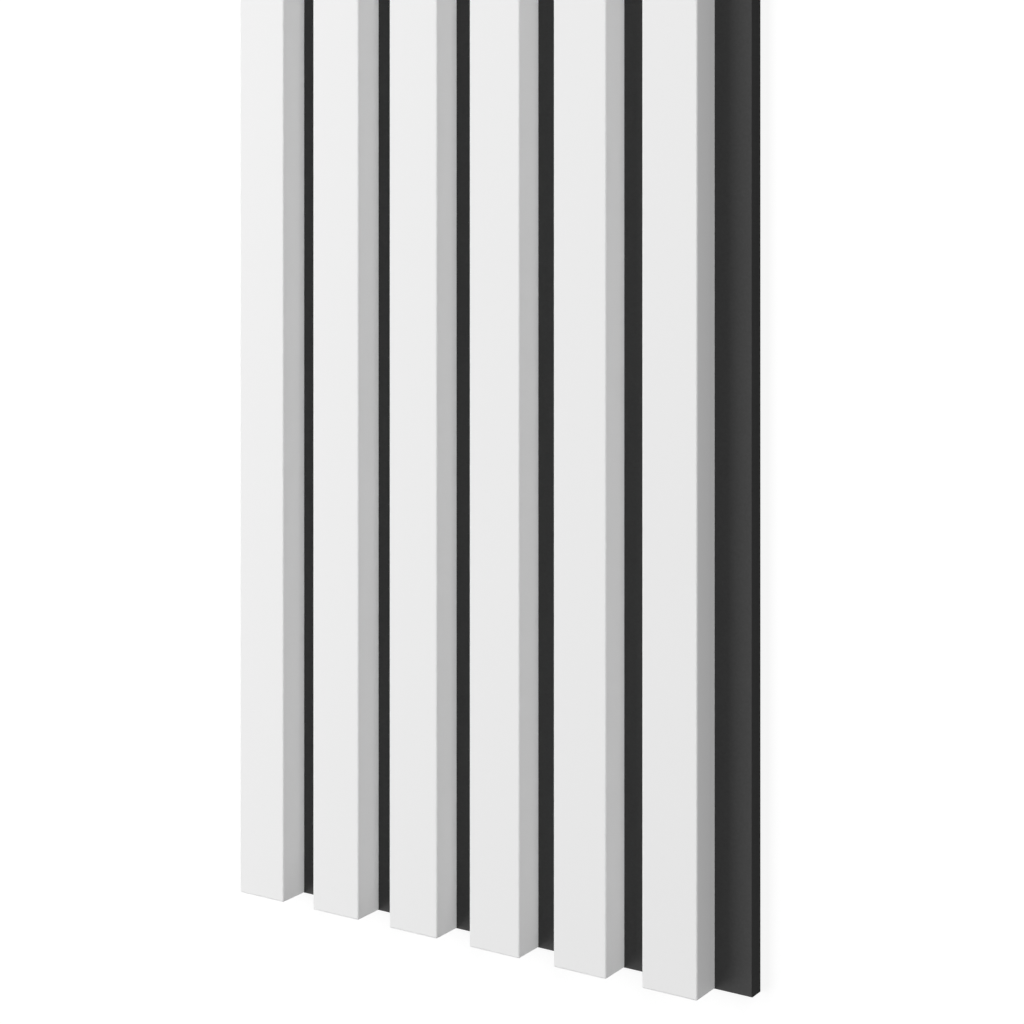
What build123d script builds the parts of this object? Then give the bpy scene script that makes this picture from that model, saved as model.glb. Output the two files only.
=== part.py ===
from build123d import *

import os

# Slat wall panel: a row of slats glued at an even pitch to the face of a backing board.
# The panel lies on its back. X runs across the slats, Y along them and Z out of the face.
# The origin is the middle of the board's back face.

# Driving dimensions in millimetres
panel_length = 2400.0
slat_count = 6
slat_width = 30.0
slat_depth = 18.0
slat_gap = 20.0
slat_edge_radius = 0.8
board_thickness = 9.0
board_edge_break = 0.3

# The first slat is flush with the board's left edge and one bare gap is left along the right edge,
# so the next panel butts on there and the pitch runs on unbroken.
slat_pitch = slat_width + slat_gap
panel_width = slat_count * slat_pitch
first_slat_centre = -panel_width / 2 + slat_width / 2

ON_ITS_BACK = (Align.CENTER, Align.CENTER, Align.MIN)


def make_backing_board():
    """A sawn sheet, with the edges of its front face broken all round."""
    board = Box(panel_width, panel_length, board_thickness, align=ON_ITS_BACK)
    front_face = board.faces().sort_by(Axis.Z)[-1]
    return chamfer(front_face.edges(), board_edge_break)


def make_slat(number):
    """One slat, counted from the left edge: rounded on its front and ends, and square where it is glued."""
    centre = first_slat_centre + (number - 1) * slat_pitch
    bar = Box(slat_width, panel_length, slat_depth, align=ON_ITS_BACK)
    slat = Pos(centre, 0, board_thickness) * bar
    glued_face = slat.faces().sort_by(Axis.Z)[0]
    free_edges = slat.edges() - glued_face.edges()
    return fillet(free_edges, slat_edge_radius)


def main():
    os.makedirs("parts", exist_ok=True)
    export_step(make_backing_board(), "parts/backing_board.step")
    for number in range(1, slat_count + 1):
        export_step(make_slat(number), f"parts/slat_{number}.step")


main()
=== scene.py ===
import math

import bmesh
import bpy
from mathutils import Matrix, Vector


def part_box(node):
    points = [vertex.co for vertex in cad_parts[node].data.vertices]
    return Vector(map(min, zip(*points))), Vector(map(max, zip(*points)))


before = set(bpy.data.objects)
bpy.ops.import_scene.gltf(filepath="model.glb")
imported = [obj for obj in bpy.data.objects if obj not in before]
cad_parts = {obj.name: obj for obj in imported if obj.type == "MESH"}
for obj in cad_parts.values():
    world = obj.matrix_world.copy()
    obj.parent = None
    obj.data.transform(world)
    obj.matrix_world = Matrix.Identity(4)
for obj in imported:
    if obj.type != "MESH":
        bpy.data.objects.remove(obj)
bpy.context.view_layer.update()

# The panel lies on its back: X runs across the slats, Y along them and Z out of the face.
# Sizes are in metres.
BOARD_LOW, BOARD_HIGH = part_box("backing_board")
SLAT_NAMES = sorted(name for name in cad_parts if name.startswith("slat_"))
LEFT_EDGE = BOARD_LOW.x
NEAR_END = BOARD_LOW.y
BOARD_FACE = BOARD_HIGH.z
BOARD_MIDDLE = (BOARD_LOW.z + BOARD_HIGH.z) / 2

# Camera: level along the slats, turned about their length, with the lens shifted down to the near end
IMAGE_SIDE_PIXELS = 1024
LENS_FOCUS_PIXELS = 2172.2
LENS_AXIS_ROW = 147.6
SENSOR_WIDTH_MM = 36
CAMERA_RIGHT_OF_LEFT_EDGE = 0.7622
CAMERA_IN_FROM_NEAR_END = 0.4049
CAMERA_ABOVE_BOARD_FACE = 0.9326
CAMERA_TURN = math.radians(32.67)

# Light: two long lamps, parallel to the slats. Each angle runs from the floor on the left,
# over the panel.
LAMP_LENGTH = 4.8
LEFT_LAMP_ANGLE = math.radians(46)
LEFT_LAMP_DISTANCE = 1.7
LEFT_LAMP_WIDTH = 1.6
RIGHT_LAMP_ANGLE = math.radians(132)
RIGHT_LAMP_DISTANCE = 2.6
RIGHT_LAMP_WIDTH = 1.2
LEFT_LAMP_WATTS = 46.5
RIGHT_LAMP_WATTS = 48
WORLD_LIGHT = 0.05

# Floor: what is seen of it is nearly all plain white. The rest takes light, and keeps a faint shadow
# in an oval round the panel, which is drawn in across the slats.
FLOOR_SIDE = 40
FLOOR_DROP = 0.0002
FLOOR_PLAIN_SHARE = 0.8
FLOOR_LIT_COLOUR = 1.5
FLOOR_BOUNCE = 0.25
SHADOW_OVAL = 5
SHADOW_REACH = 1.5
SHADOW_FADE = 1.5

# Lacquer on the slats
LACQUER_DARK, LACQUER_LIGHT = 0.915, 0.925
LACQUER_ROUGHNESS = 0.52
LACQUER_GLOSS = 0.22
TONE_DRIFT_SIZE = 0.15
PEEL_SIZE = 0.0025
PEEL_DEPTH = 0.000004
STROKE_SIZE = 0.0015
STROKE_STRETCH = (1, 0.02, 1)

# Backing board
FACE_DARK, FACE_LIGHT = 0.023, 0.033
EDGE_DARK, EDGE_LIGHT = 0.028, 0.046
FIBRE_ROUGHNESS = 0.7
FIBRE_GLOSS = 0.05
SEAL_WEIGHT = 0.4
SEAL_ROUGHNESS = 0.48
SEAL_MARGIN = 0.00005
FELT_SIZE = 0.0012
CLOUD_SIZE = 0.04
SAW_MARK_SIZE = 0.0008
SAW_MARK_STRETCH = (1, 1, 0.05)
RELIEF_DEPTH = 0.000006

# Places of the Mix node's colour sockets
MIX_FACTOR, MIX_FIRST, MIX_SECOND = 0, 6, 7
MIX_COLOUR = 2


class Value:
    """A number or a vector that varies over a surface. Each sum with it adds a Math node."""

    def __init__(self, nodes, socket):
        self.nodes = nodes
        self.socket = socket

    def _sum(self, operation, first, second):
        return self.nodes.add("ShaderNodeMath", {"operation": operation}, {0: first, 1: second})

    def __add__(self, other):
        return self._sum("ADD", self, other)

    def __sub__(self, other):
        return self._sum("SUBTRACT", self, other)

    def __mul__(self, other):
        return self._sum("MULTIPLY", self, other)

    def __gt__(self, other):
        return self._sum("GREATER_THAN", self, other)

    def __abs__(self):
        return self._sum("ABSOLUTE", self, 0)

    def __rsub__(self, other):
        return self._sum("SUBTRACT", other, self)

    __radd__ = __add__
    __rmul__ = __mul__

    def larger_of(self, other):
        return self._sum("MAXIMUM", self, other)


class Nodes:
    """The node tree of a material or a world."""

    def __init__(self, owner):
        owner.use_nodes = True
        self.tree = owner.node_tree
        self.tree.nodes.clear()

    def add(self, kind, settings=None, sockets=None, output=0):
        """Adds a node, sets it up, gives its sockets values or links, and returns one output."""
        node = self.tree.nodes.new(kind)
        for name, setting in (settings or {}).items():
            setattr(node, name, setting)
        for place, value in (sockets or {}).items():
            if isinstance(value, Value):
                self.tree.links.new(value.socket, node.inputs[place])
            else:
                node.inputs[place].default_value = value
        return Value(self, node.outputs[output]) if node.outputs else None

    def blend(self, factor, first, second):
        """A colour from first to second as factor goes from 0 to 1."""
        sockets = {MIX_FACTOR: factor, MIX_FIRST: first, MIX_SECOND: second}
        return self.add("ShaderNodeMix", {"data_type": "RGBA"}, sockets, MIX_COLOUR)

    def ramp(self, value, low, high):
        """0 where the value is low and 1 where it is high, with a smooth rise between."""
        sockets = {"Value": value, "From Min": low, "From Max": high}
        return self.add("ShaderNodeMapRange", {"interpolation_type": "SMOOTHSTEP"}, sockets)

    def place(self):
        """Where a point lies on the piece."""
        return self.add("ShaderNodeTexCoord", output="Object")

    def stretched(self, place, scale):
        """The place with its axes scaled, so that noise runs long where the scale is small."""
        return self.add("ShaderNodeMapping", sockets={"Vector": place, "Scale": scale})

    def noise(self, place, size, detail):
        """Soft noise from 0 to 1 whose blotches are about that size."""
        sockets = {"Vector": place, "Scale": 1 / size, "Detail": detail}
        return self.add("ShaderNodeTexNoise", sockets=sockets)

    def bump(self, height, depth):
        """Surface normals for a height from 0 to 1 that stands for the depth."""
        return self.add("ShaderNodeBump", sockets={"Strength": 1, "Distance": depth, "Height": height})


def grey(level):
    """A neutral colour."""
    return (level, level, level, 1)


def slat_lacquer():
    """Matt white spray lacquer: faint orange peel, and sanding strokes along the slat in its sheen."""
    material = bpy.data.materials.new("slat_lacquer")
    nodes = Nodes(material)
    place = nodes.place()
    peel = nodes.noise(place, PEEL_SIZE, 1)
    drift = nodes.noise(place, TONE_DRIFT_SIZE, 2)
    strokes = nodes.noise(nodes.stretched(place, STROKE_STRETCH), STROKE_SIZE, 2)
    shader = nodes.add(
        "ShaderNodeBsdfPrincipled",
        sockets={
            "Base Color": nodes.blend(drift, grey(LACQUER_DARK), grey(LACQUER_LIGHT)),
            "Roughness": LACQUER_ROUGHNESS + 0.06 * drift + 0.08 * strokes,
            "Specular IOR Level": LACQUER_GLOSS,
            "Normal": nodes.bump(peel, PEEL_DEPTH),
        },
    )
    nodes.add("ShaderNodeOutputMaterial", sockets={"Surface": shader})
    return material


def charcoal_fibreboard():
    """Charcoal fibreboard with a satin seal on both faces. Its sawn edges are bare, paler and rough."""
    material = bpy.data.materials.new("charcoal_fibreboard")
    nodes = Nodes(material)
    place = nodes.place()
    height = nodes.add("ShaderNodeSeparateXYZ", sockets={"Vector": place}, output="Z")
    sealed = abs(height - BOARD_MIDDLE) > BOARD_FACE - BOARD_MIDDLE - SEAL_MARGIN
    felt = nodes.noise(place, FELT_SIZE, 4)
    cloud = nodes.noise(place, CLOUD_SIZE, 3)
    saw_marks = nodes.noise(nodes.stretched(place, SAW_MARK_STRETCH), SAW_MARK_SIZE, 3)
    face = nodes.blend(0.6 * felt + 0.4 * cloud, grey(FACE_DARK), grey(FACE_LIGHT))
    edge = nodes.blend(0.5 * felt + 0.5 * saw_marks, grey(EDGE_DARK), grey(EDGE_LIGHT))
    relief = sealed * felt + (1 - sealed) * (felt + 2 * saw_marks)
    shader = nodes.add(
        "ShaderNodeBsdfPrincipled",
        sockets={
            "Base Color": nodes.blend(sealed, edge, face),
            "Roughness": FIBRE_ROUGHNESS - 0.2 * sealed + 0.1 * felt,
            "Specular IOR Level": FIBRE_GLOSS,
            "Coat Weight": sealed * (SEAL_WEIGHT + 0.2 * felt),
            "Coat Roughness": SEAL_ROUGHNESS,
            "Normal": nodes.bump(relief, RELIEF_DEPTH),
        },
    )
    nodes.add("ShaderNodeOutputMaterial", sockets={"Surface": shader})
    return material


def seen_directly(nodes):
    """1 for what the camera sees, also by reflection or through glass, and 0 for the light thrown back."""
    straight = nodes.add("ShaderNodeLightPath", output="Is Camera Ray")
    mirrored = nodes.add("ShaderNodeLightPath", output="Is Glossy Ray")
    through = nodes.add("ShaderNodeLightPath", output="Is Transmission Ray")
    return straight.larger_of(mirrored).larger_of(through)


def studio_floor():
    """A white floor that keeps a faint shadow by the panel and throws little light back."""
    mesh = bpy.data.meshes.new("studio_floor")
    shape = bmesh.new()
    bmesh.ops.create_grid(shape, x_segments=1, y_segments=1, size=FLOOR_SIDE / 2)
    bmesh.ops.translate(shape, verts=shape.verts, vec=(0, 0, BOARD_LOW.z - FLOOR_DROP))
    shape.to_mesh(mesh)
    shape.free()
    material = bpy.data.materials.new("studio_floor")
    nodes = Nodes(material)
    oval = nodes.stretched(nodes.place(), (SHADOW_OVAL, 1, 1))
    far = nodes.add("ShaderNodeVectorMath", {"operation": "LENGTH"}, {0: oval}, "Value")
    fade = nodes.ramp(far, SHADOW_REACH, SHADOW_REACH + SHADOW_FADE)
    plain_share = FLOOR_PLAIN_SHARE + (1 - FLOOR_PLAIN_SHARE) * fade
    plain = nodes.add("ShaderNodeEmission", sockets={"Color": grey(1), "Strength": 1})
    lit = nodes.add("ShaderNodeBsdfDiffuse", sockets={"Color": grey(FLOOR_LIT_COLOUR)})
    shown = nodes.add("ShaderNodeMixShader", sockets={0: plain_share, 1: lit, 2: plain})
    bounced = nodes.add("ShaderNodeBsdfDiffuse", sockets={"Color": grey(FLOOR_BOUNCE)})
    surface = nodes.add("ShaderNodeMixShader", sockets={0: seen_directly(nodes), 1: bounced, 2: shown})
    nodes.add("ShaderNodeOutputMaterial", sockets={"Surface": surface})
    mesh.materials.append(material)
    floor = bpy.data.objects.new("studio_floor", mesh)
    bpy.context.scene.collection.objects.link(floor)
    return floor


def studio_world():
    """White behind the panel, and an even dim light from all round."""
    world = bpy.data.worlds.new("studio_world")
    nodes = Nodes(world)
    level = WORLD_LIGHT + (1 - WORLD_LIGHT) * seen_directly(nodes)
    background = nodes.add("ShaderNodeBackground", sockets={"Color": grey(1), "Strength": level})
    nodes.add("ShaderNodeOutputWorld", sockets={"Surface": background})
    bpy.context.scene.world = world


def strip_lamp(name, angle, distance, width, watts):
    """A long soft lamp beside the panel, turned to face it."""
    lamp = bpy.data.lights.new(name, "AREA")
    lamp.shape = "RECTANGLE"
    lamp.size = width
    lamp.size_y = LAMP_LENGTH
    lamp.energy = watts
    stand = bpy.data.objects.new(name, lamp)
    stand.location = (-distance * math.cos(angle), 0, distance * math.sin(angle))
    stand.rotation_euler = (0, angle - math.radians(90), 0)
    stand.visible_camera = False
    bpy.context.scene.collection.objects.link(stand)


def photo_camera():
    """The camera of the picture, which looks down on the near end of the panel."""
    lens = bpy.data.cameras.new("photo_camera")
    lens.sensor_width = SENSOR_WIDTH_MM
    lens.lens = LENS_FOCUS_PIXELS / IMAGE_SIDE_PIXELS * SENSOR_WIDTH_MM
    lens.shift_y = LENS_AXIS_ROW / IMAGE_SIDE_PIXELS - 0.5
    camera = bpy.data.objects.new("photo_camera", lens)
    camera.location = (
        LEFT_EDGE + CAMERA_RIGHT_OF_LEFT_EDGE,
        NEAR_END + CAMERA_IN_FROM_NEAR_END,
        BOARD_FACE + CAMERA_ABOVE_BOARD_FACE,
    )
    camera.rotation_euler = (0, CAMERA_TURN, 0)
    bpy.context.scene.collection.objects.link(camera)
    bpy.context.scene.camera = camera


lacquer = slat_lacquer()
for slat_name in SLAT_NAMES:
    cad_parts[slat_name].data.materials[0] = lacquer
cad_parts["backing_board"].data.materials[0] = charcoal_fibreboard()

studio_floor()
studio_world()
strip_lamp("left_lamp", LEFT_LAMP_ANGLE, LEFT_LAMP_DISTANCE, LEFT_LAMP_WIDTH, LEFT_LAMP_WATTS)
strip_lamp("right_lamp", RIGHT_LAMP_ANGLE, RIGHT_LAMP_DISTANCE, RIGHT_LAMP_WIDTH, RIGHT_LAMP_WATTS)
photo_camera()
bpy.context.scene.view_settings.view_transform = "Standard"
